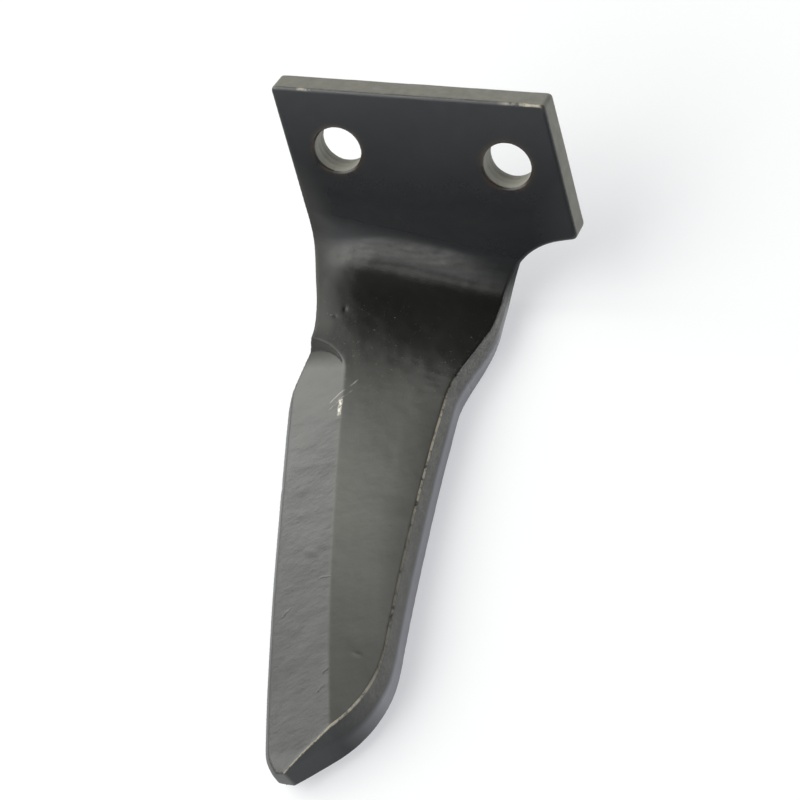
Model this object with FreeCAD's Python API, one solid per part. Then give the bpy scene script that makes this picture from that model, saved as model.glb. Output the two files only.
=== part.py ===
# Power harrow tine: a forged knife for a rotor that turns about an upright shaft.
# One piece of bar stock is cut on the skew, punched with two bolt holes, bent below them, twisted and drawn
# out to a blade with a bevelled leading edge.
#
# Frame: millimetres, +Z up. The flange stands upright with its mounting face on y = 0, and the origin lies
# on that face midway between the two bolt holes. The blade runs down and forward, towards -Y.
#
# The blade is described along its own middle line: "along" is the distance from the start of the bend,
# "across" is the distance to the right of the middle line, and "deep" is the distance behind the front face.
import FreeCAD
import Part
import math
import os

Vector = FreeCAD.Vector

# Flange
flange_thickness = 10.0
flange_left = 48.45       # from the middle of the holes to the left side, at the height of the holes
flange_right = 48.6       # the same to the right side
left_skew = 11.2          # degrees that the left side leans, because the bar is cut on the skew
right_skew = 11.9         # the same for the right side
flange_top = 22.8         # from the holes up to the sheared top edge
top_slope = 1.1           # degrees that the sheared top edge rises to the right
flange_corner = 1.6
ear_bottom = 25.2         # from the holes down to the tip of the ear
ear_slope = 14.5          # degrees that the underside of the ear falls towards the neck
ear_corner = 2.0
neck_straight = 1.0       # straight part of the neck between the ear's fillet and the bend

# Bolt holes for M16
hole_spacing = 60.0
hole_diameter = 16.5
hole_break = 0.3          # broken edge of the punched hole

# Bend
bend_drop = 33.6          # from the holes down to the start of the bend, on the middle line
bend_skew = 8.0           # degrees that the line of the bend falls to the right
bend_length = 18.0
bend_angle = 57.0
blade_sweep = 10.6        # further degrees that the blade curves forward between the bend and the tip
middle_offset = 3.0       # the middle line starts this far left of the middle of the holes

# Blade
blade_length = 195.5      # from the start of the bend to the tip
blade_thickness = 15.0
thicken_start = 8.0       # the bar grows from the flange's thickness to the blade's between these two
thicken_end = 45.0
twist_angle = 17.0        # degrees that the blade has turned at its tip, right side forward
twist_start = 9.0
twist_onset = 10.0        # length over which the twist sets in
twist_length = 40.0       # how quickly it then comes in
draft = 0.5               # the sides bulge this much at the parting line
parting = 0.42            # the parting line's share of the thickness, from the front

# Left side: neck, then the step where the bevel spreads the bar, then the leading edge. The neck goes on
# from the flange's side.
neck_turn = 24.0          # the neck's left side is straight up to here
neck_settle = 46.0        # and runs along the middle line from here
step_start = 35.5
step_end = 64.0
lead_top = 33.0           # at the end of the step
lead_tip = 6.9            # at the tip, on the other side of the middle line
lead_bow = 2.7            # how far the leading edge bows out
nose_length = 7.5
nose_round = 3.0

# Right side: neck, shoulder, trailing edge, heel and slanted tip cut
neck_right = 33.3
neck_flare = 2.2
neck_flare_length = 10.0
shoulder_start = 21.5
shoulder_end = 54.0
waist_right = 26.6
heel_right = 41.3         # where the trailing edge and the tip cut would meet
heel_along = 170.5
trail_bow = 2.0
heel_radius = 37.0
tip_cut_angle = 47.5      # degrees between the tip cut and the middle line
right_slant = 2.6         # the right side's outline lies this much further along at the back than in front
right_spread = 0.7        # and this much further out

# Bevel on the leading edge
bevel_top = 23.5          # width of the bevel at its upper end
bevel_tip = 27.4          # and at the tip
bevel_depth = 8.5         # what it takes off the leading edge
runout_along = 59.0       # middle of the round run-out
runout_left = 27.6
runout_radius = 17.0
runout_slope = 24.0       # degrees that the run-out's wall leans

lead_break = 1.6          # width of the beaten strip along the leading edge
lead_break_slope = 50.0   # degrees that the strip leans

# Edges and construction
edge_break = 0.5          # chamfer along the outline, front and back
step = 0.25               # length of a step along the middle line
rail_gap = 3.0            # distance between the points that the blade's rails pass through
overrun = 2.0             # how far the middle line and the cutting shapes run past the steel


def ease(start, end, along):
    """0 before start, 1 after end, with a smooth change between them."""
    u = min(max((along - start) / (end - start), 0.0), 1.0)
    return u * u * (3.0 - 2.0 * u)


def bend_at(along):
    sweep = blade_sweep * max(along - bend_length, 0.0) / (blade_length - bend_length)
    return math.radians(bend_angle * ease(0.0, bend_length, along) + sweep)


def twist_at(along):
    if along <= twist_start:
        return 0.0
    here = along - twist_start
    whole = blade_length - twist_start
    grown = 1.0 - math.exp(-here ** 2 / (here + twist_onset) / twist_length)
    full = 1.0 - math.exp(-whole ** 2 / (whole + twist_onset) / twist_length)
    return math.radians(twist_angle) * grown / full


def thickness_at(along):
    grown = ease(thicken_start, thicken_end, along)
    return flange_thickness + (blade_thickness - flange_thickness) * grown


def middle_line():
    """Points of the middle line on the front face, one for each step."""
    skew = math.radians(bend_skew)
    up = Vector(math.sin(skew), 0, math.cos(skew))
    back = Vector(0, 1, 0)
    point = Vector(-middle_offset, -flange_thickness, -bend_drop)
    points = [point]
    for i in range(int((blade_length + overrun) / step) + 1):
        angle = bend_at((i + 0.5) * step)
        point = point - (back * math.sin(angle) + up * math.cos(angle)) * step
        points.append(point)
    return points


MIDDLE = middle_line()


def frame_at(along):
    """Origin on the front face and the three directions: across, along and deep."""
    skew = math.radians(bend_skew)
    line = Vector(math.cos(skew), 0, -math.sin(skew))
    up = Vector(math.sin(skew), 0, math.cos(skew))
    back = Vector(0, 1, 0)
    angle = bend_at(along)
    tangent = (back * math.sin(angle) + up * math.cos(angle)) * -1.0
    deep = back * math.cos(angle) - up * math.sin(angle)
    twist = twist_at(along)
    across = line * math.cos(twist) - deep * math.sin(twist)
    deep = deep * math.cos(twist) + line * math.sin(twist)
    i = min(int(along / step), len(MIDDLE) - 2)
    share = along / step - i
    origin = MIDDLE[i] * (1.0 - share) + MIDDLE[i + 1] * share
    return origin, across, tangent, deep


def place(along, across, deep):
    origin, to_right, tangent, to_back = frame_at(along)
    return origin + to_right * across + to_back * deep


def neck_left_at(along):
    """The left side of the neck: it goes on from the flange's side, from where that meets the bend."""
    lean = math.tan(math.radians(left_skew))
    skew = math.radians(bend_skew)
    top = (flange_left - middle_offset - bend_drop * lean) / (math.cos(skew) - lean * math.sin(skew))
    slope = math.tan(math.radians(left_skew + bend_skew))
    sag = slope / (neck_settle - neck_turn) / 2.0
    reached = min(along, neck_settle)
    return -top + slope * reached - sag * max(reached - neck_turn, 0.0) ** 2


def lead_at(along):
    """The leading edge, rounded off at the nose."""
    u = (along - step_end) / (blade_length - step_end)
    past_nose = max(along - blade_length + nose_length, 0.0) / nose_length
    bow = 4.0 * lead_bow * u * (1.0 - u)
    return -lead_top + (lead_tip + lead_top) * u - bow + nose_round * past_nose ** 2


def left_at(along):
    share = ease(step_start, step_end, along)
    return neck_left_at(along) * (1.0 - share) + lead_at(max(along, step_end)) * share


def trail_at(along):
    """The trailing edge, before the heel is rounded."""
    u = (along - shoulder_end) / (heel_along - shoulder_end)
    return waist_right + (heel_right - waist_right) * u - 4.0 * trail_bow * u * (1.0 - u)


def right_at(along):
    flare = neck_flare * max(1.0 - along / neck_flare_length, 0.0) ** 2
    share = ease(shoulder_start, shoulder_end, along)
    neck = neck_right + flare
    trail = trail_at(max(along, shoulder_end))
    slope_in = math.atan((heel_right - waist_right + 4.0 * trail_bow) / (heel_along - shoulder_end))
    slope_out = math.radians(tip_cut_angle)
    reach = heel_radius * math.tan((slope_in + slope_out) / 2.0)
    start = heel_along - reach * math.cos(slope_in)
    end = heel_along + reach * math.cos(slope_out)
    if along > end:
        trail = heel_right - (along - heel_along) * math.tan(slope_out)
    elif along > start:
        middle = start + heel_radius * math.sin(slope_in)
        height = heel_right - reach * math.sin(slope_in) - heel_radius * math.cos(slope_in)
        trail = height + math.sqrt(heel_radius ** 2 - (along - middle) ** 2)
    return neck * (1.0 - share) + trail * share


def side_slope(side_at, along):
    return (side_at(along + step) - side_at(along - step)) / (2.0 * step)


def inset(side_at, along):
    """How far the edge's chamfer reaches across: it stays as wide square to the side where that leans."""
    return edge_break * math.sqrt(1.0 + side_slope(side_at, along) ** 2)


def bar_corners(along):
    """The bar's outline across the blade: front, two sides with a parting line, and back."""
    thick = thickness_at(along)
    left = left_at(along)
    set_in = ease(0.0, bend_length, along)
    bulge = draft * set_in
    slant = set_in * right_slant / 2.0
    spread = set_in * right_spread / 2.0
    right_front = right_at(along + slant) - spread
    right_back = right_at(along - slant) + spread
    flat_left = left + inset(left_at, along)
    flat_front = right_front - inset(right_at, along + slant)
    flat_back = right_back - inset(right_at, along - slant)
    corners = [
        (flat_left, 0.0),
        (flat_front, 0.0),
        (right_front, edge_break),
        (right_at(along) + bulge, thick * parting),
        (right_back, thick - edge_break),
        (flat_back, thick),
        (flat_left, thick),
        (left, thick - edge_break),
        (left - bulge, thick * parting),
        (left, edge_break),
    ]
    return [place(along, across, deep) for across, deep in corners]


def spaced(start, end, gap):
    count = max(int(math.ceil((end - start) / gap)), 2)
    return [start + (end - start) * i / count for i in range(count + 1)]


def ruled_solid(corners_at, marks):
    """Solid with a smooth rail through each corner and a ruled face between each rail and the next."""
    rings = [corners_at(along) for along in marks]
    rails = []
    for i in range(len(rings[0])):
        curve = Part.BSplineCurve()
        curve.interpolate(Points=[ring[i] for ring in rings], Parameters=marks)
        rails.append(curve.toShape())
    faces = [Part.makeRuledSurface(rails[i - 1], rails[i]) for i in range(len(rails))]
    for ring in (rings[0], rings[-1]):
        faces.append(Part.Face(Part.makePolygon(ring + ring[:1])))
    shell = Part.Compound(faces)
    shell.sewShape()
    solid = Part.Solid(shell.Shells[0])
    if solid.Volume < 0:
        solid.reverse()
    return solid


def make_blade():
    return ruled_solid(bar_corners, spaced(0.0, blade_length, rail_gap))


def flange_point(x, z):
    return Vector(x, -flange_thickness, z)


def meet(a, toward_a, b, toward_b):
    """Where two lines in the flange's plane cross."""
    det = toward_a.x * -toward_b.z + toward_b.x * toward_a.z
    gap = b - a
    share = (gap.x * -toward_b.z + toward_b.x * gap.z) / det
    return a + toward_a * share


def rounded(before, corner, after, radius):
    """Arc in a corner, with its two ends."""
    to_before = (before - corner).normalize()
    to_after = (after - corner).normalize()
    half = to_before.getAngle(to_after) / 2.0
    reach = radius / math.tan(half)
    start = corner + to_before * reach
    end = corner + to_after * reach
    bisector = (to_before + to_after).normalize()
    middle = corner + bisector * (radius / math.sin(half) - radius)
    return start, Part.Arc(start, middle, end).toShape(), end


def outline_edges(flange, bend_left, bend_line):
    """The edges of the front and back faces, all but the two that lie on the bend."""
    found = []
    for edge in flange.Edges:
        middle = edge.valueAt((edge.FirstParameter + edge.LastParameter) / 2.0)
        on_face = min(abs(middle.y), abs(middle.y + flange_thickness)) < step
        off_bend = (middle - bend_left).cross(bend_line)
        if on_face and max(abs(off_bend.x), abs(off_bend.y), abs(off_bend.z)) > step:
            found.append(edge)
    return found


def make_flange():
    left_lean = math.tan(math.radians(left_skew))
    right_lean = math.tan(math.radians(right_skew))
    rise = math.tan(math.radians(top_slope))
    left_side = Vector(-left_lean, 0, 1)
    right_side = Vector(-right_lean, 0, 1)
    top = Vector(1, 0, rise)
    top_middle = flange_point(0, flange_top)
    top_left = meet(top_middle, top, flange_point(-flange_left, 0), left_side)
    top_right = meet(top_middle, top, flange_point(flange_right, 0), right_side)
    ear_tip = flange_point(flange_right + ear_bottom * right_lean, -ear_bottom)
    bend_left = place(0.0, left_at(0.0), 0.0)
    bend_right = place(0.0, right_at(0.0), 0.0)
    to_right, tangent, to_back = frame_at(0.0)[1:]
    neck = (to_right * -side_slope(right_at, 0.0) - tangent).normalize()
    fall = math.radians(ear_slope)
    underside = Vector(-math.cos(fall), 0, -math.sin(fall))
    ear_root = meet(ear_tip, underside, bend_right, neck)
    reach = (ear_root - bend_right).Length - neck_straight
    half = (bend_right - ear_root).getAngle(ear_tip - ear_root) / 2.0
    ear_fillet = reach * math.tan(half)
    a, top_left_arc, b = rounded(bend_left, top_left, top_right, flange_corner)
    c, top_right_arc, d = rounded(top_left, top_right, ear_tip, flange_corner)
    e, ear_arc, f = rounded(top_right, ear_tip, ear_root, ear_corner)
    g, fillet_arc, h = rounded(ear_tip, ear_root, bend_right, ear_fillet)
    edges = [
        Part.LineSegment(bend_left, a).toShape(),
        top_left_arc,
        Part.LineSegment(b, c).toShape(),
        top_right_arc,
        Part.LineSegment(d, e).toShape(),
        ear_arc,
        Part.LineSegment(f, g).toShape(),
        fillet_arc,
        Part.LineSegment(h, bend_right).toShape(),
        Part.LineSegment(bend_right, bend_left).toShape(),
    ]
    flange = Part.Face(Part.Wire(edges)).extrude(to_back * flange_thickness)
    return flange.makeChamfer(edge_break, outline_edges(flange, bend_left, to_right))


def make_hole(x):
    """One bolt hole, with the edge broken at both ends."""
    radius = hole_diameter / 2.0
    to_back = Vector(0, 1, 0)
    front = Vector(x, -flange_thickness, 0)
    back = Vector(x, 0, 0)
    wide = radius + hole_break
    bore = Part.makeCylinder(radius, flange_thickness + 2.0 * overrun, front - to_back * overrun, to_back)
    front_cone = Part.makeCone(wide, radius, hole_break, front, to_back)
    back_cone = Part.makeCone(radius, wide, hole_break, back - to_back * hole_break, to_back)
    return bore.fuse([front_cone, back_cone])


def bevel_width_at(along):
    return bevel_top + (bevel_tip - bevel_top) * (along - step_end) / (blade_length - step_end)


def bevel_corners(along):
    """What the bevel takes off the bar at one place: a wedge, with a steeper strip at the leading edge."""
    left = lead_at(along)
    width = bevel_width_at(along)
    slope = bevel_depth / width
    past = blade_thickness
    strip_depth = slope * (width - lead_break)
    steep = math.tan(math.radians(lead_break_slope))
    corners = [
        (left + width + past, -slope * past),
        (left + width + past, -slope * past - past),
        (left - past, -slope * past - past),
        (left - past, strip_depth + steep * (lead_break + past)),
        (left + lead_break, strip_depth),
    ]
    return [place(along, across, deep) for across, deep in corners]


def make_bevel():
    """The wedge along the leading edge, ended at its top by a round run-out with a leaning wall."""
    start = runout_along - runout_radius - blade_thickness / 2.0
    wedge = ruled_solid(bevel_corners, spaced(start, blade_length + overrun, rail_gap))
    origin, across, tangent, deep = frame_at(runout_along)
    above = blade_thickness / 2.0
    tall = above + blade_thickness
    lean = math.tan(math.radians(runout_slope))
    wide = runout_radius + above * lean
    top = origin - across * runout_left - deep * above
    cone = Part.makeCone(wide, wide - tall * lean, tall, top, deep)
    corner = origin - (across + deep) * blade_length
    width = Part.LineSegment(corner, corner + across * 2.0 * blade_length).toShape()
    lower = width.extrude(deep * 2.0 * blade_length).extrude(tangent * blade_length)
    return wedge.common(cone.fuse(lower))


def make_tine():
    blade = make_blade()
    flange = make_flange()
    body = flange.fuse(blade).removeSplitter()
    body = body.cut(make_bevel())
    for x in (-hole_spacing / 2.0, hole_spacing / 2.0):
        body = body.cut(make_hole(x))
    return body.Solids[0]


if __name__ == "__main__":
    os.makedirs("parts", exist_ok=True)
    tine = make_tine()
    tine.exportStep("parts/tine.step")
    box = tine.BoundBox
    print("tine", tine.ShapeType, "valid", tine.isValid(), "faces", len(tine.Faces))
    print("volume cm3", round(tine.Volume / 1000.0, 2), "mass kg", round(tine.Volume * 7.85e-6, 3))
    print("box", [round(v, 2) for v in (box.XMin, box.XMax, box.YMin, box.YMax, box.ZMin, box.ZMax)])
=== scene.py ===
# %% [markdown]
# # A power harrow tine in worn black paint
#
# The real thing is one forging. A flat bar is cut on the skew, punched with two bolt holes, bent, and hammered
# out to a knife with a bevel on its left side. It is dipped in thin satin paint, so every hammer mark shows
# through, and the paint is rubbed off along the edges. This script takes the exact shape from the CAD model,
# softens it to a forging, and gives it its paint, its wear and a studio to stand in.
#
# The first lines bring in the CAD model. Its box is kept, so that the hammer marks can be held inside it.

# %% Load the CAD model
import math

import bmesh
import bpy
import numpy as np
from mathutils import Matrix, Quaternion, Vector, noise


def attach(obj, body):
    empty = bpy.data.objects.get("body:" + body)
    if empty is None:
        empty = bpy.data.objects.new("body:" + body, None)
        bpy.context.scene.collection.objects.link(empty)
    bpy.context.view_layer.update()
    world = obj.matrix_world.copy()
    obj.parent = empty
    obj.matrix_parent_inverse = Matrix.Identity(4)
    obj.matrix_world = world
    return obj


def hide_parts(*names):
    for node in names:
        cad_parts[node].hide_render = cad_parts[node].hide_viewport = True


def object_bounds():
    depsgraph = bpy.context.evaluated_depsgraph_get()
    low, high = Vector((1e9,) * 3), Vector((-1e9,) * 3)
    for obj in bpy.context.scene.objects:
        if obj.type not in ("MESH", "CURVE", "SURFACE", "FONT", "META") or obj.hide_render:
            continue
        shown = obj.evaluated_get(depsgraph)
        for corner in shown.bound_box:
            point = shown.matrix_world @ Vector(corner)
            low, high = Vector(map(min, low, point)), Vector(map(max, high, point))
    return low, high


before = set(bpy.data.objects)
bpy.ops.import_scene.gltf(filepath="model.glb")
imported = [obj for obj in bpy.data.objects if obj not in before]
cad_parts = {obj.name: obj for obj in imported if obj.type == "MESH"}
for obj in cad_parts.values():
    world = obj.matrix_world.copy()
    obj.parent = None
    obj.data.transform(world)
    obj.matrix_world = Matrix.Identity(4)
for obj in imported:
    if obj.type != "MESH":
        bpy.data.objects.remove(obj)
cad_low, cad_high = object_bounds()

print("CAD box in mm:", [round(v * 1000, 1) for v in (cad_high - cad_low)])

# %% [markdown]
# ## Finding a place on the blade
#
# Hammer marks and scratches belong to places such as "80 mm down the blade, near the ridge", and not to X, Y and
# Z. So the script follows the same middle line as the CAD model: it starts at the bend, turns forward over
# 18 mm, sweeps a little further and twists towards the tip. Each point of the piece then gets three numbers:
# how far along that line it is, how far across to the right, and how deep behind the front face.

# %% The blade's middle line
MM = 0.001
BEND_START = Vector((-3, -10, -33.6)) * MM
BEND_SKEW = math.radians(8)
BEND_LENGTH = 18 * MM
BEND_ANGLE = math.radians(57)
BLADE_SWEEP = math.radians(10.6)
BLADE_LENGTH = 195.5 * MM
TWIST_ANGLE = math.radians(17)
TWIST_START = 9 * MM
TWIST_ONSET = 10 * MM
TWIST_LENGTH = 40 * MM
LINE_STEP = 0.5 * MM


def ease(start, end, value):
    """0 before start, 1 after end, with a smooth change between them."""
    u = np.clip((value - start) / (end - start), 0, 1)
    return u * u * (3 - 2 * u)


def bend_at(along):
    sweep = BLADE_SWEEP * np.maximum(along - BEND_LENGTH, 0) / (BLADE_LENGTH - BEND_LENGTH)
    return BEND_ANGLE * ease(0, BEND_LENGTH, along) + sweep


def twist_at(along):
    here = np.maximum(along - TWIST_START, 0)
    whole = BLADE_LENGTH - TWIST_START
    grown = 1 - np.exp(-here ** 2 / (here + TWIST_ONSET) / TWIST_LENGTH)
    return TWIST_ANGLE * grown / (1 - math.exp(-whole ** 2 / (whole + TWIST_ONSET) / TWIST_LENGTH))


def middle_line():
    """For each step: the distance along, the point, and the directions across, along and deep."""
    line = np.array((math.cos(BEND_SKEW), 0, -math.sin(BEND_SKEW)))
    up = np.array((math.sin(BEND_SKEW), 0, math.cos(BEND_SKEW)))
    back = np.array((0, 1, 0))
    along = np.arange(0, BLADE_LENGTH + 8 * MM, LINE_STEP)
    bend = bend_at(along)[:, None]
    down = -(back * np.sin(bend) + up * np.cos(bend))
    half_way = bend_at(along + LINE_STEP / 2)[:, None]
    steps = -(back * np.sin(half_way) + up * np.cos(half_way)) * LINE_STEP
    points = np.array(BEND_START) + np.vstack([np.zeros(3), np.cumsum(steps, axis=0)[:-1]])
    flat_deep = back * np.cos(bend) - up * np.sin(bend)
    twist = twist_at(along)[:, None]
    across = line * np.cos(twist) - flat_deep * np.sin(twist)
    deep = flat_deep * np.cos(twist) + line * np.sin(twist)
    return along, points, across, down, deep


LINE = middle_line()
print("middle line:", len(LINE[0]), "points, tip at", (LINE[1][int(BLADE_LENGTH / LINE_STEP)] * 1000).round(1))

# %% Along, across and deep for a set of points
def blade_places(points):
    """Along, across and deep in metres for each point. Along is negative on the flange."""
    along, origins, across, down, deep = LINE
    best = np.zeros(len(points))
    for start in range(0, len(points), 4000):
        block = points[start:start + 4000]
        ahead = np.einsum("nmk,mk->nm", block[:, None, :] - origins[None], down)
        passed = np.argmax(ahead < 0, axis=1)
        passed[ahead[:, -1] >= 0] = len(along) - 1
        before = np.maximum(passed - 1, 0)
        rows = np.arange(len(block))
        gap = ahead[rows, before] - ahead[rows, passed]
        share = np.where(passed > 0, ahead[rows, before] / np.where(gap == 0, 1, gap), ahead[rows, 0] / LINE_STEP)
        best[start:start + 4000] = (before + share) * LINE_STEP
    nearest = np.clip(np.rint(best / LINE_STEP).astype(int), 0, len(along) - 1)
    away = points - origins[nearest]
    return best, np.einsum("nk,nk->n", away, across[nearest]), np.einsum("nk,nk->n", away, deep[nearest])


def ridge_at(along):
    """The ridge between the bevel and the front face, in metres across."""
    u = (along - 64 * MM) / (BLADE_LENGTH - 64 * MM)
    lead = -33.0 + 39.9 * u - 10.8 * u * (1 - u)
    return (lead + 23.5 + 3.9 * u) * MM


# %% [markdown]
# ## The forging
#
# A forged bar has no razor edges: the hammer, the shear and the paint round them by half a millimetre or so.
# Bevelling each edge of the CAD shape would work, but the bend, the run-out and the slanted tip meet in corners
# where bevels clash. So a copy of the CAD mesh is merged and wrapped in an even skin of small squares with a
# Remesh modifier, and that skin is smoothed. Flat faces stay flat, and every edge gets the same soft roll. The
# even skin also gives the hammer marks something to move. The bevel ends at its top in a round run-out, and the
# rim of that is softer on the real thing than any other edge, so the points near it are smoothed a few times more.

# %% Copy, merge and remesh the CAD shape
SKIN_SIZE = 0.42 * MM


def new_piece(name, bm):
    mesh = bpy.data.meshes.new(name)
    bm.to_mesh(mesh)
    bm.free()
    piece = bpy.data.objects.new(name, mesh)
    bpy.context.scene.collection.objects.link(piece)
    return piece


def apply_modifiers(piece):
    """Gives the piece the mesh that its modifiers make, and removes them."""
    seen = piece.evaluated_get(bpy.context.evaluated_depsgraph_get())
    made = bpy.data.meshes.new_from_object(seen)
    made.name = piece.name
    piece.modifiers.clear()
    piece.data = made


bm = bmesh.new()
bm.from_mesh(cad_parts["tine"].data)
bmesh.ops.remove_doubles(bm, verts=bm.verts, dist=0.002 * MM)
print("CAD copy:", len(bm.verts), "points,", len(bm.faces), "triangles")
forging = new_piece("forging", bm)
skin = forging.modifiers.new("skin", "REMESH")
skin.mode = "VOXEL"
skin.voxel_size = SKIN_SIZE
apply_modifiers(forging)
print("skin:", len(forging.data.vertices), "points,", len(forging.data.polygons), "faces")

# %% Roll the edges
ROLL_PASSES = 2
RIM_PASSES = 10
SIDE_NORMAL = -0.62   # a normal with less X than this is on the left side and not on the run-out's wall


def smooth(bm, verts, passes):
    for _ in range(passes):
        bmesh.ops.smooth_vert(bm, verts=verts, factor=0.5, use_axis_x=True, use_axis_y=True, use_axis_z=True)


bm = bmesh.new()
bm.from_mesh(forging.data)
smooth(bm, bm.verts, ROLL_PASSES)
bm.verts.ensure_lookup_table()
along, across, deep = blade_places(np.array([vert.co for vert in bm.verts]))
rim = (np.abs(along - 57 * MM) < 9 * MM) & (np.abs(across + 20 * MM) < 15 * MM)
rim &= (deep > 0.2 * MM) & (deep < 10 * MM)
rim &= (across - ridge_at(along) < 2 * MM) | (along < 56 * MM)
rim &= np.array([vert.normal.x for vert in bm.verts]) > SIDE_NORMAL
near_rim = [bm.verts[i] for i in np.flatnonzero(rim)]
smooth(bm, near_rim, RIM_PASSES)
print("points of the run-out's rim that are softened further:", len(near_rim))
for face in bm.faces:
    face.smooth = True
bm.to_mesh(forging.data)
bm.free()

# %% [markdown]
# ## Reading the skin
#
# To put marks where they belong, the script reads the points and normals of the skin as arrays and works out a
# few plain numbers for each point: its place on the blade, how squarely it faces the front or the right side, how
# far it is from the right edge of the front face, and how sharp the surface is there. A point on an edge stands out
# from the mean of its neighbours, and that distance is the sharpness.

# %% Points, normals, places and sharpness
def read_numbers(collection, what, width):
    """The numbers of a mesh collection, with one row for each of its items."""
    kind = np.int32 if what == "vertices" else np.float64
    values = np.empty(len(collection) * width, dtype=kind)
    collection.foreach_get(what, values)
    return values.reshape(-1, width)


def sharpness(mesh, points, normals):
    """How far each point stands out from its neighbours, in metres, evened over a few of them."""
    ends = read_numbers(mesh.edges, "vertices", 2)
    count = np.bincount(ends.ravel(), minlength=len(points))

    def neighbour_mean(values):
        total = np.bincount(ends[:, 0], values[ends[:, 1]], len(points))
        total += np.bincount(ends[:, 1], values[ends[:, 0]], len(points))
        return total / count

    mean = np.stack([neighbour_mean(points[:, i]) for i in range(3)], axis=1)
    out = np.einsum("nk,nk->n", points - mean, normals)
    for _ in range(3):
        out = (out + neighbour_mean(out)) / 2
    return out


points = read_numbers(forging.data.vertices, "co", 3)
normals = read_numbers(forging.data.vertex_normals, "vector", 3)
along, across, deep = blade_places(points)
step_index = np.clip(np.rint(along / LINE_STEP).astype(int), 0, len(LINE[0]) - 1)
facing_front = -np.einsum("nk,nk->n", normals, LINE[4][step_index])
facing_right = np.einsum("nk,nk->n", normals, LINE[2][step_index])
sharp = sharpness(forging.data, points, normals)
LAST_ROW = 210   # the right edge is looked up in rows of 1 mm along the blade
row = np.clip(np.rint(along / MM).astype(int), 0, LAST_ROW)
right_edge = np.full(LAST_ROW + 1, -1.0)
on_face = facing_front > 0.8
np.maximum.at(right_edge, row[on_face], across[on_face])
from_right = right_edge[row] - across
print("along", (along.min() * 1000).round(1), "to", (along.max() * 1000).round(1), "mm,",
      "sharpest", (sharp.max() * 1000).round(3), "mm")

# %% [markdown]
# ## Hammer marks
#
# The bend was struck across while it was hot, which left a low rough bar right across it, and the left edge of
# the neck was rolled over. The faces of the blade rise and fall by a tenth of a millimetre or two. There are a
# few pits and gouges, and the wall of each hole has the rings that a punch leaves. All of these are moves of the
# skin's own points along their normals, so that they catch the light from every side. They are added up in `push`,
# in millimetres, and the points move once at the end. None may leave the box of the CAD model.

# %% Noise and spots
def rolling(size, seed, stretch=(1, 1, 1)):
    """Smooth noise of about -1 to 1 at each point, with hills of the given size."""
    shift = Vector((seed, 2.3 * seed, -1.7 * seed))
    scaled = points / (size * np.array(stretch))
    return np.array([noise.noise(Vector(p) + shift) for p in scaled])


def spot(along_mm, across_mm, length, width, turn=0):
    """1 in the middle of a mark on the front face, falling to 0 around it. Turn is in degrees."""
    a, c = along - along_mm * MM, across - across_mm * MM
    t = math.radians(turn)
    u = (a * math.cos(t) + c * math.sin(t)) / (length * MM)
    v = (c * math.cos(t) - a * math.sin(t)) / (width * MM)
    return np.exp(-u * u - v * v)


on_front = np.clip(facing_front * 2 - 0.6, 0, 1)
on_blade = ease(-2 * MM, 12 * MM, along)
broad = rolling(15 * MM, 3.1)
fine = rolling(4.0 * MM, 8.7)
dark_part = ease(8 * MM, 16 * MM, along) * (1 - ease(55 * MM, 80 * MM, along))
push = (broad * (0.12 - 0.06 * dark_part) + fine * 0.035) * on_blade
push += (rolling(22 * MM, 5.3) * 0.06 + fine * 0.012) * (1 - on_blade)

# %% The struck bar, the rolled neck and the gouges
BAR_HEIGHT = 0.34        # millimetres, as are all the heights and depths below
BAR_HALF_WIDTH = 3.9 * MM
ROLLED_WIDTH = 11 * MM
ROLLED_DEPTH = 0.40
HOLE_X = 30              # millimetres from the middle to each hole's axis
HOLE_RADIUS = 8.25 * MM
RING_GAP = 2.9
RING_HEIGHT = 0.07

# Along, across, length, width and turn of each pit or gouge, and its depth. A negative depth is a raised burr.
MARKS = (
    (28.8, -19.7, 1.2, 0.8, 20, 0.09),
    (32.0, -22.4, 1.1, 0.7, 60, 0.06),
    (153.8, 28.4, 1.8, 0.7, 75, -0.10),
    (93.0, -27.5, 1.4, 1.4, 0, 0.45),
    (141.7, 36.6, 1.2, 0.9, 0, 0.35),
    (104.0, -14.0, 3.0, 1.2, 70, 0.05),
    (118.0, -3.0, 3.6, 1.2, 80, 0.05),
    (82.0, 16.0, 3.0, 1.4, 30, 0.04),
)

# The bar's middle curves down towards the left.
bar_middle = (3.6 + np.where(across < 0, 0.009, 0.001) * (across * 1000) ** 2) * MM
bar = np.exp(-np.abs((along - bar_middle) / BAR_HALF_WIDTH) ** 3) * ease(-34 * MM, -22 * MM, across)
bar *= 1 - 0.85 * ease(8 * MM, 30 * MM, across)
streaks = rolling(1.7 * MM, 4.4, (3.5, 1, 1))
push += bar * on_front * (BAR_HEIGHT + 0.20 * broad + 0.10 * fine + 0.14 * streaks)

# The left edge of the neck is a curve that was fitted to the CAD model.
neck_edge = -(39.2 - 0.362 * along * 1000 + 0.0021 * (along * 1000) ** 2) * MM
from_edge = np.clip(1 - (across - neck_edge) / ROLLED_WIDTH, 0, 1.2)
neck = ease(-26 * MM, -6 * MM, along) * (1 - ease(34 * MM, 44 * MM, along))
push -= ROLLED_DEPTH * from_edge ** 2 * neck * on_front

for mark_along, mark_across, length, width, turn, depth in MARKS:
    push -= depth * spot(mark_along, mark_across, length, width, turn) * np.clip(facing_front * 2, 0, 1)

for side in (-1, 1):
    from_axis = np.hypot(points[:, 0] - side * HOLE_X * MM, points[:, 2])
    wall = np.clip(1 - np.abs(from_axis - HOLE_RADIUS) / (0.5 * MM), 0, 1) * (along < 0)
    push += RING_HEIGHT * wall * np.sin(points[:, 1] / MM * 2 * math.pi / RING_GAP + fine)

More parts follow.
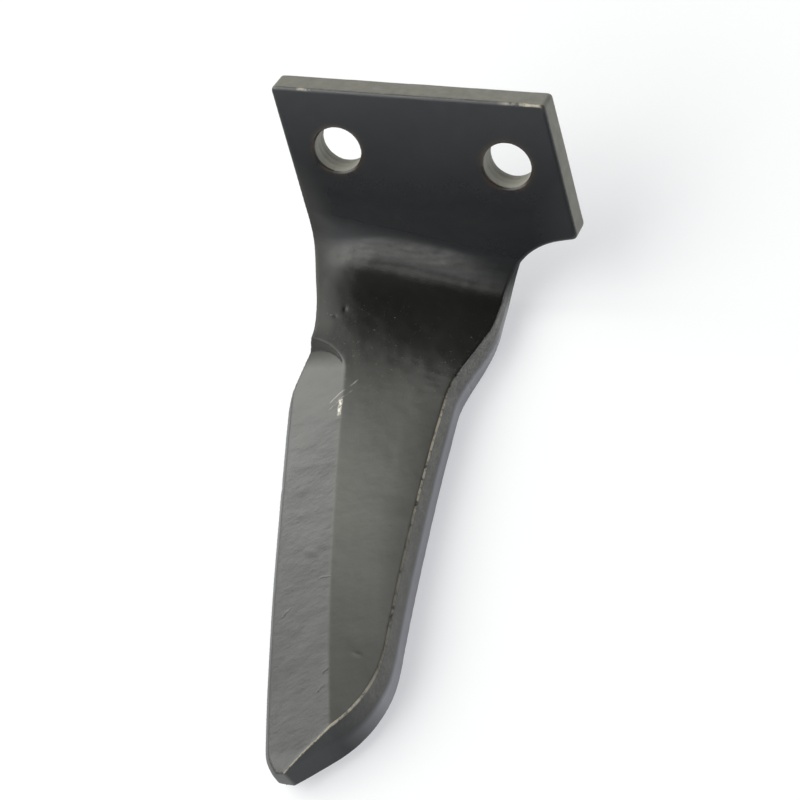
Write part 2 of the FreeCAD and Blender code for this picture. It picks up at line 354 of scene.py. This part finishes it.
push *= MM
points = np.clip(points + normals * push[:, None], np.array(cad_low), np.array(cad_high))
forging.data.vertices.foreach_set("co", points.ravel())
forging.data.update()
print("moved by", (push.min() * 1000).round(2), "to", (push.max() * 1000).round(2), "mm")

# %% [markdown]
# ## Numbers for the paint
#
# The paint needs to know the same things, so they are kept on the mesh as attributes, with distances in
# millimetres: the place on the blade, the sharpness, the distances to the ridge, the bar and the right edge, and
# how far the surface is one that was sheared or punched, where the paint is dull and dusty.
#
# The skin then has far more triangles than the shape needs, so a Decimate modifier thins it. Thinning alone would
# make the flat faces shimmer, so a copy of the full skin lends its normals to the thinned one.

# %% Keep the numbers as attributes
on_flange = 1 - ease(-12 * MM, -4 * MM, along)
cut = on_flange * np.clip(1.15 - np.abs(normals[:, 1]) * 2.2, 0, 1)
numbers = {
    "along": along * 1000,
    "across": across * 1000,
    "deep": deep * 1000,
    "bar": bar * on_front,
    "neck": from_edge ** 1.5 * neck * on_front,
    "cut": cut,
    "right": facing_right,
    "front": facing_front,
    "from_right": from_right * 1000,
    "below_bar": (along - bar_middle) * 1000,
    "sharp": np.clip(sharp / sharp.max(), 0, 1),
    "ridge": (ridge_at(along) - across) * 1000,
}
for name, values in numbers.items():
    store = forging.data.attributes.new(name, "FLOAT", "POINT")
    store.data.foreach_set("value", values.astype(np.float32))

# %% Thin the skin to what the shape needs
MOST_TRIANGLES = 185_000


def triangle_count(piece):
    return sum(len(face.vertices) - 2 for face in piece.data.polygons)


triangles = triangle_count(forging)
dense = forging.copy()
dense.data = forging.data.copy()
bpy.context.scene.collection.objects.link(dense)
thin = forging.modifiers.new("thin", "DECIMATE")
thin.ratio = min(1.0, MOST_TRIANGLES / triangles)
shading = forging.modifiers.new("shading", "DATA_TRANSFER")
shading.object = dense
shading.use_loop_data = True
shading.data_types_loops = {"CUSTOM_NORMAL"}
shading.loop_mapping = "POLYINTERP_NEAREST"
apply_modifiers(forging)
bpy.data.objects.remove(dense)
print("thinned from", triangles, "to", triangle_count(forging), "triangles")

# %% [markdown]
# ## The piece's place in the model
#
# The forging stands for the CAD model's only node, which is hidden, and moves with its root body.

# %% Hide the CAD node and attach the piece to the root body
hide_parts("tine")
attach(forging, "root")

# %% [markdown]
# ## Writing shader maths as Python
#
# A painted finish is a stack of masks: noise, edges, streaks. In the node editor each sum is a Math node. Here a
# small class wraps a socket, so that `mask * 0.5 + 0.2` adds those nodes by itself. `between(low, high)` is 0 at
# low, 1 at high and straight in between, and it also works with low above high.

# %% The shader helper
class Value:
    """A number that varies over the surface."""

    def __init__(self, sheet, socket):
        self.sheet, self.socket = sheet, socket

    def math(self, operation, *others, clamp=False):
        inputs = {i: other for i, other in enumerate((self,) + others)}
        return self.sheet.add("ShaderNodeMath", inputs, operation=operation, use_clamp=clamp)

    def __add__(self, other): return self.math("ADD", other)
    def __radd__(self, other): return self.math("ADD", other)
    def __sub__(self, other): return self.math("SUBTRACT", other)
    def __mul__(self, other): return self.math("MULTIPLY", other)
    def __rmul__(self, other): return self.math("MULTIPLY", other)
    def __truediv__(self, other): return self.math("DIVIDE", other)
    def __rsub__(self, other): return (self * -1) + other
    def clamp(self): return (self * 1).math("ADD", 0, clamp=True)
    def between(self, low, high): return ((self - low) / (high - low)).clamp()


class Finish:
    """A material and its nodes."""

    def __init__(self, name):
        self.material = bpy.data.materials.new(name)
        self.material.use_nodes = True
        self.tree = self.material.node_tree
        self.tree.nodes.clear()

    def add(self, kind, inputs=None, output=0, **settings):
        """Adds a node, links or sets its inputs, and gives back one of its outputs."""
        node = self.tree.nodes.new(kind)
        for name, value in settings.items():
            setattr(node, name, value)
        for key, value in (inputs or {}).items():
            if isinstance(value, Value):
                self.tree.links.new(value.socket, node.inputs[key])
            else:
                node.inputs[key].default_value = value
        return Value(self, node.outputs[output]) if len(node.outputs) else None

    def mix(self, share, a, b):
        """Colour b over colour a. These numbers are the sockets of the Mix node that hold colours."""
        return self.add("ShaderNodeMix", {0: share, 6: a, 7: b}, output=2, data_type="RGBA")

    def noise(self, where, scale, detail=3.0, roughness=0.5):
        return self.add("ShaderNodeTexNoise", {"Vector": where, "Scale": scale, "Detail": detail,
                                               "Roughness": roughness})


# %% [markdown]
# ## Worn black paint
#
# The paint is thin: nearly black, a little blue on the flange, and rubbed to a dull olive grey on the blade. On the
# flange a lighter blue-grey is painted in towards the top and the right end, as painted light. It is smooth enough
# to mirror the lamps as a wide soft sheen, and most of what looks grey is that sheen. A fine grain in the bump
# keeps the sheen from looking like plastic.
#
# First come the masks, each of them 0 to 1: where the bevel is, where the paint is worn down, where soil has
# polished it, where it has gone matt, and where painted light and painted shade go. Their limits are millimetres
# along, across or deep.

# %% Masks
paint = Finish("worn_black_paint")
place = paint.add("ShaderNodeTexCoord", output="Object")


def kept(name):
    """One of the numbers that were kept on the mesh."""
    return paint.add("ShaderNodeAttribute", output="Fac", attribute_name=name)


def highest(masks):
    top = masks[0]
    for mask in masks[1:]:
        top = top.math("MAXIMUM", mask)
    return top


along_mm, across_mm, deep_mm = kept("along"), kept("across"), kept("deep")
bar_mask, neck_mask, cut_mask, sharp_mask = (kept(name) for name in ("bar", "neck", "cut", "sharp"))
right, front = kept("right"), kept("front")
x_mm, z_mm = (paint.add("ShaderNodeSeparateXYZ", {0: place}, output=axis) * 1000.0 for axis in "XZ")
cloud = paint.noise(place, 55.0, 4.0)
mottle = paint.noise(place, 260.0, 4.0, 0.6)
grain = paint.noise(place, 1000.0, 3.0, 0.6)
speck = paint.noise(place, 3000.0, 2.0)
blade_grid = paint.add("ShaderNodeCombineXYZ", {0: along_mm * 0.55 + across_mm * 0.25,
                                                1: across_mm * 0.20 - along_mm * 0.08, 2: deep_mm * 0.3})
wrinkle = paint.noise(blade_grid, 1.0, 4.0, 0.6)
ridge_mm = kept("ridge")
bevel = ridge_mm.between(-0.5, 0.7) * along_mm.between(44.0, 50.0)
worn_down = along_mm.between(36.0, 84.0)
hollow = along_mm.between(6.0, 14.0) * along_mm.between(66.0, 36.0)
hollow = hollow * across_mm.between(-31.0, -16.0) * (1 - bevel)
below_bar = kept("below_bar")
under_bar = below_bar.between(2.0, 5.0) * below_bar.between(13.0, 8.0) * across_mm.between(-28.0, -16.0)
left_shade = along_mm.between(13.0, 22.0) * along_mm.between(68.0, 46.0)
left_shade = left_shade * across_mm.between(17.0, 1.0) * (1 - bevel) * (1 - neck_mask * 0.6)
# Painted light: the wall of the run-out is made lighter.
runout_wall = front.between(0.80, 0.60) * along_mm.between(36.0, 42.0) * along_mm.between(64.0, 58.0)
runout_wall = runout_wall * across_mm.between(-4.0, -8.0)
side_mask = right.between(0.35, 0.7) * along_mm.between(5.0, 14.0)
front_strip = side_mask * deep_mm.between(7.4, 5.8)
before_cut = (along_mm + across_mm * 0.75).between(204.0, 192.0)
flange = along_mm.between(2.0, -4.0)
# Painted light: the flange's colour is made lighter towards its top and its right end.
flange_painted_light = highest([z_mm.between(-16.0, 22.0), x_mm.between(38.0, 50.0) * 0.5]) * flange
right_bend = along_mm.between(-6.0, 2.0) * along_mm.between(20.0, 12.0)
right_bend = right_bend * across_mm.between(8.0, 34.0) * (1 - side_mask)
# Painted highlight: the middle of the blade's front face, nearer the ridge, is made paler.
mid_blade_painted_highlight = along_mm.between(62.0, 88.0) * along_mm.between(170.0, 110.0) * ridge_mm.between(-30.0, -6.0)
dark_strip = kept("from_right").between(12.0, 2.0) * along_mm.between(50.0, 70.0) * (1 - side_mask)
# Painted shade: the blade's front is made darker towards the tip. It is also darker along a strip by the right
# edge.
painted_shade_and_dark_strip = highest([along_mm.between(105.0, 165.0) * 0.85, dark_strip * 0.7]) * (1 - side_mask)


def scratch(a0, c0, a1, c1, width):
    """A straight scratch on the blade, from one place to another, in millimetres."""
    length = math.hypot(a1 - a0, c1 - c0)
    ua, uc = (a1 - a0) / length, (c1 - c0) / length
    run = (along_mm - a0) * ua + (across_mm - c0) * uc
    off = ((along_mm - a0) * uc - (across_mm - c0) * ua + (mottle - 0.5) * 1.6).math("ABSOLUTE")
    return off.between(width, width * 0.3) * run.between(0.0, 1.0) * run.between(length, length - 1.0)


# %% [markdown]
# The colours are laid over each other from the clean paint to the dirt, each with a mask as its share. Some of them
# are painted light: a lighter top on the flange, a paler middle and a darker tip on the blade's front, a brighter
# band across the bend, a lightened wall at the run-out, and a pale blue reflection of the table on the right side.

# %% The paint's colours
black = (0.0030, 0.0034, 0.0044, 1)
olive_black = (0.0085, 0.0084, 0.0072, 1)
# The lighter blue-grey of the painted light on the flange.
greyed_painted_light = (0.0115, 0.0128, 0.0148, 1)
rubbed = (0.028, 0.0285, 0.022, 1)
# Worn paint made paler, as a painted highlight in the middle of the blade.
rubbed_painted_highlight = (0.060, 0.061, 0.050, 1)
# Worn paint made darker: painted shade towards the tip, and the dark strip by the right edge.
dark_rubbed_and_painted_shade = (0.010, 0.0102, 0.008, 1)
rubbed_bevel = (0.038, 0.040, 0.038, 1)
# Dull paint on the struck bar, and also a painted highlight on the bend's band and on the run-out's wall.
dull_and_painted_highlight = (0.088, 0.088, 0.081, 1)
dull_neck = (0.027, 0.0275, 0.0235, 1)
dusty = (0.165, 0.155, 0.125, 1)
sheared = (0.200, 0.195, 0.165, 1)
punched = (0.480, 0.470, 0.410, 1)
# A pale blue painted reflection of the table on the blade's right side.
pale_blue_painted_reflection = (0.235, 0.237, 0.265, 1)
rust = (0.060, 0.034, 0.016, 1)
tip_blue = (0.0065, 0.0078, 0.0105, 1)
steel = (0.42, 0.38, 0.30, 1)
chip = (0.75, 0.70, 0.60, 1)
# Painted light on the flange, lighter towards its top and right end.
colour = paint.mix((flange_painted_light * (cloud * 0.5 + mottle * 0.5)).clamp(), black, greyed_painted_light)
colour = paint.mix(along_mm.between(4.0, 12.0), colour, olive_black)
# Painted highlight in the middle of the blade's front face.
wear_and_painted_light_colour = paint.mix(mid_blade_painted_highlight * 0.8, rubbed, rubbed_painted_highlight)
# Painted shade towards the tip, and the dark strip by the right edge.
wear_and_painted_light_colour = paint.mix(painted_shade_and_dark_strip * 0.75, wear_and_painted_light_colour, dark_rubbed_and_painted_shade)
wear_and_painted_light_colour = paint.mix(bevel, wear_and_painted_light_colour, rubbed_bevel)
colour = paint.mix((worn_down * (cloud * 0.6 + mottle * 0.6 + 0.25)).clamp(), colour, wear_and_painted_light_colour)
band = (bar_mask * (mottle * 1.2 + 0.2)).clamp()
# Painted light on the run-out's wall.
colour = paint.mix(runout_wall * 0.32, colour, dull_and_painted_highlight)
colour = paint.mix(neck_mask * 0.7, colour, dull_neck)
# The band across the bend: partly dull paint on the struck bar, partly painted highlight.
colour = paint.mix(band * 0.7, colour, dull_and_painted_highlight)
colour = paint.mix(side_mask * (1 - before_cut), colour, tip_blue)
# Painted reflection of the table on the right side, behind the strip by the front edge.
colour = paint.mix(side_mask * deep_mm.between(7.0, 9.5) * before_cut, colour, pale_blue_painted_reflection)
fresh_strip = front_strip * (1 - along_mm.between(80.0, 130.0) * 0.45)
colour = paint.mix((fresh_strip * (mottle * 1.1 + grain * 1.3 - 0.95) * before_cut).clamp(), colour, dusty)
colour = paint.mix((cut_mask * (mottle * 0.8 + 0.45)).clamp(), colour, sheared)
from_hole = x_mm.math("ABSOLUTE") - HOLE_X
from_hole = (from_hole * from_hole + z_mm * z_mm).math("SQRT")
colour = paint.mix(from_hole.between(8.7, 8.4) * cut_mask * 0.25, colour, punched)
rust_ring = from_hole.between(10.6, 8.8) * from_hole.between(8.35, 8.6) * flange
rust_ring = rust_ring * (mottle * 0.9 + grain * 0.6).between(0.55, 0.95)
colour = paint.mix(rust_ring * 0.6, colour, rust)

# %% [markdown]
# Bare steel shows where the tine rubs: as a broken bright line along the right edge of the front face, as chips on
# the flange's top edge and at the ridge's upper end, and as a few scratches. Nicks that have gone dark come last.

# %% Wear: edges, scratches and chips
edge_line = front.between(0.35, 0.55) * front.between(0.97, 0.91) * right.between(0.04, 0.12)
edge_line = edge_line * along_mm.between(44.0, 60.0)
bright_line = highest([along_mm.between(105.0, 88.0), along_mm.between(158.0, 172.0)]) * 0.6 + 0.4
rim = sharp_mask.between(0.30, 0.60)
worn = (edge_line * (mottle * 0.8 + grain * 0.5).between(0.52, 0.68)).clamp()
worn = highest([worn * bright_line * 0.9, rim * cut_mask * grain.between(0.5, 0.62) * 0.5])
chipped = highest([
    x_mm.between(27.0, 33.0) * x_mm.between(43.5, 41.0),
    x_mm.between(-43.5, -42.0) * x_mm.between(-38.0, -39.5),
])
top_chip = rim * z_mm.between(19.5, 21.0) * chipped
worn = highest([worn, top_chip * mottle.between(0.38, 0.52)])
colour = paint.mix(worn, colour, steel)
pale = highest([
    scratch(63.2, -15.2, 53.6, -6.4, 0.35) * 0.24,
    scratch(66.0, -14.6, 57.5, -7.4, 0.30) * 0.18,
    scratch(61.0, -10.8, 67.9, -9.6, 0.95) * grain.between(0.42, 0.54),
])
dust = grain.between(0.66, 0.74) * along_mm.between(18.0, 34.0) * along_mm.between(70.0, 50.0) * (1 - bevel)
colour = paint.mix(dust * 0.14, colour, chip)
colour = paint.mix((pale * mottle.between(0.36, 0.50)).clamp(), colour, chip)
nicks = highest([
    scratch(28.2, -20.1, 29.4, -19.3, 0.9),
    scratch(31.5, -22.8, 32.5, -22.0, 0.7) * 0.7,
    scratch(159.5, 20.7, 162.0, 18.2, 0.7),
    scratch(165.8, 20.4, 168.6, 18.6, 0.8),
    scratch(137.5, -4.0, 141.5, -7.0, 0.6) * 0.6,
    scratch(127.0, 9.5, 127.6, 4.0, 0.5) * 0.4,
])
colour = paint.mix(nicks * 0.5, colour, black)

# %% [markdown]
# Polished paint mirrors a lamp sharply, and matt paint hardly mirrors it. So the roughness is lower in the hollow,
# on the bevel and on the flange, and a plain matt shader takes part of the share where the sheen has worn off.

# %% Relief, roughness and the shader
height = cloud * (0.5 - hollow * 0.3) + wrinkle * worn_down * (bevel * 0.15 + 0.2)
height = height + (mottle * 0.24 + grain * 0.06 + speck * 0.015) * (1 - hollow * 0.75 - bevel * 0.65 - flange * 0.7)
height = height + cut_mask * grain * 0.4 + bar_mask * mottle * 0.6 - nicks * 0.4
bump = paint.add("ShaderNodeBump", {"Strength": 0.35, "Distance": 0.0006, "Height": height})
roughness = mottle * 0.05 + cloud * 0.06 + 0.40 + highest([band, neck_mask]) * 0.12 + cut_mask * 0.20
roughness = roughness - bevel * 0.15 - hollow * 0.25
roughness = roughness - flange * (1 - cut_mask) * (0.19 - flange_painted_light * 0.08)
gloss = paint.add("ShaderNodeBsdfPrincipled", {
    "Base Color": colour,
    "Roughness": roughness,
    "IOR": 1.70,
    "Normal": bump,
})
matt = paint.add("ShaderNodeBsdfDiffuse", {"Color": colour, "Normal": bump})
matt_share = highest([
    painted_shade_and_dark_strip * (0.36 - bevel * 0.05),
    neck_mask * 0.46,
    side_mask * (1 - before_cut) * 0.36,
    right_bend * 0.70,
    left_shade * 0.55,
    under_bar * (1 - side_mask) * 0.48,
    flange * (1 - cut_mask) * (0.42 - flange_painted_light * 0.42),
])
shader = paint.add("ShaderNodeMixShader", {0: matt_share, 1: gloss, 2: matt})
paint.add("ShaderNodeOutputMaterial", {"Surface": shader})
forging.data.materials.clear()
forging.data.materials.append(paint.material)
print("paint nodes:", len(paint.tree.nodes))

# %% [markdown]
# ## Floor
#
# In the picture the tine lies on its blade's back, on a white table. Its own up direction is square to that
# table only by chance, so the table is a plane parallel to the back of the blade, moved up until it touches.
# Seen from below it is clear, so that the underside can be looked at too. It glows a little, but only towards the
# camera and into mirror reflections, so that it looks white and throws no more light on the tine.

# %% The table
MIDDLE_OF_BLADE = 110 * MM
TABLE_SIZE = 1.6
GLOW_SHARE = 0.54

table_up = -Vector(LINE[4][int(MIDDLE_OF_BLADE / LINE_STEP)])
table_height = (points @ np.array(table_up)).min()
bm = bmesh.new()
bmesh.ops.create_grid(bm, x_segments=1, y_segments=1, size=TABLE_SIZE)
turn = Vector((0, 0, 1)).rotation_difference(table_up).to_matrix().to_4x4()
centre = Vector(points.mean(axis=0))
foot = centre - table_up * (centre @ table_up - table_height)
bmesh.ops.transform(bm, matrix=Matrix.Translation(foot) @ turn, verts=bm.verts)
table = new_piece("table", bm)
white = Finish("white_table")
below = white.add("ShaderNodeNewGeometry", output="Backfacing")
seen = white.add("ShaderNodeLightPath", output="Is Camera Ray")
mirrored = white.add("ShaderNodeLightPath", output="Is Glossy Ray")
chalk = white.add("ShaderNodeBsdfDiffuse", {"Color": (0.95, 0.95, 0.95, 1)})
glow = white.add("ShaderNodeEmission", {"Color": (0.955, 0.972, 1, 1), "Strength": 1.0})
top = white.add("ShaderNodeMixShader", {0: (seen + mirrored).clamp() * GLOW_SHARE, 1: chalk, 2: glow})
clear = white.add("ShaderNodeBsdfTransparent")
whole = white.add("ShaderNodeMixShader", {0: below, 1: top, 2: clear})
white.add("ShaderNodeOutputMaterial", {"Surface": whole})
table.data.materials.append(white.material)
print("table tilt:", round(math.degrees(table_up.angle(Vector((0, 0, 1)))), 1), "degrees")

# %% [markdown]
# ## Light
#
# One very large soft lamp stands in front, to the left and above, where the blade and its bevel mirror it towards
# the camera and the flange mirrors only its edge. Four smaller ones stand behind, in front, to the right and to
# the left, for the bend, the flange's front and the sides. A faint cool world fills the shadows, and only the
# camera sees it as white.

# %% Lamps and world
def soft_lamp(name, direction, distance, size, radiance, colour, roll=0):
    """A lamp of the given width and height that looks at the tine. Radiance 1 looks white. Roll is in degrees."""
    light = bpy.data.lights.new(name, "AREA")
    light.shape = "RECTANGLE"
    light.size, light.size_y = size
    light.energy = radiance * math.pi * light.size * light.size_y
    light.color = colour
    lamp = bpy.data.objects.new(name, light)
    bpy.context.scene.collection.objects.link(lamp)
    toward = Vector(direction).normalized()
    lamp.location = centre + toward * distance
    spin = Quaternion((0, 0, 1), math.radians(roll))
    lamp.rotation_euler = (toward.to_track_quat("Z", "Y") @ spin).to_euler()


soft_lamp("key", (-0.69, -0.44, 0.58), 4.0, (5.6, 4.3), 3.6, (1.0, 1.0, 0.95), -23)
soft_lamp("back", (-0.20, 0.85, 0.50), 2.4, (2.0, 2.0), 1.3, (1.0, 1.0, 0.93))
soft_lamp("front", (-0.40, -0.91, 0.02), 2.2, (1.2, 1.2), 2.0, (0.95, 0.98, 1.0))
soft_lamp("fill", (0.92, -0.30, 0.25), 2.4, (1.6, 1.6), 2.1, (0.93, 0.96, 1.0))
soft_lamp("left", (-0.95, 0.28, 0.00), 2.5, (1.6, 1.6), 0.9, (0.97, 0.98, 1.0))

WORLD_STRENGTH = 0.055
world = bpy.data.worlds.new("studio")
world.use_nodes = True
sky = world.node_tree
sky.nodes["Background"].inputs["Color"].default_value = (0.9, 0.96, 1.1, 1)
sky.nodes["Background"].inputs["Strength"].default_value = WORLD_STRENGTH
backdrop = sky.nodes.new("ShaderNodeBackground")
backdrop.inputs["Color"].default_value = (1, 1, 1, 1)
view_only = sky.nodes.new("ShaderNodeMixShader")
sky.links.new(sky.nodes.new("ShaderNodeLightPath").outputs["Is Camera Ray"], view_only.inputs[0])
sky.links.new(sky.nodes["Background"].outputs[0], view_only.inputs[1])
sky.links.new(backdrop.outputs[0], view_only.inputs[2])
sky.links.new(view_only.outputs[0], sky.nodes["World Output"].inputs["Surface"])
bpy.context.scene.world = world

# %% [markdown]
# ## Camera
#
# The camera stands in front, a little to the right and above, with a long lens, and is rolled by a few degrees.
# Its three directions are given as they were found from the bolt holes and the straight edges.

# %% The camera
lens = bpy.data.cameras.new("camera")
lens.sensor_width = 36
lens.lens = 117
camera = bpy.data.objects.new("camera", lens)
bpy.context.scene.collection.objects.link(camera)
to_the_right = Vector((0.9492, 0.3092, -0.0581))
upward = Vector((-0.1179, 0.5207, 0.8456))
backward = Vector((0.2917, -0.7958, 0.5307))
axes = Matrix((to_the_right, upward, backward)).transposed().to_4x4()
camera.matrix_world = Matrix.Translation((0.2584, -0.7520, 0.3965)) @ axes
bpy.context.scene.camera = camera
bpy.context.scene.view_settings.view_transform = "Standard"
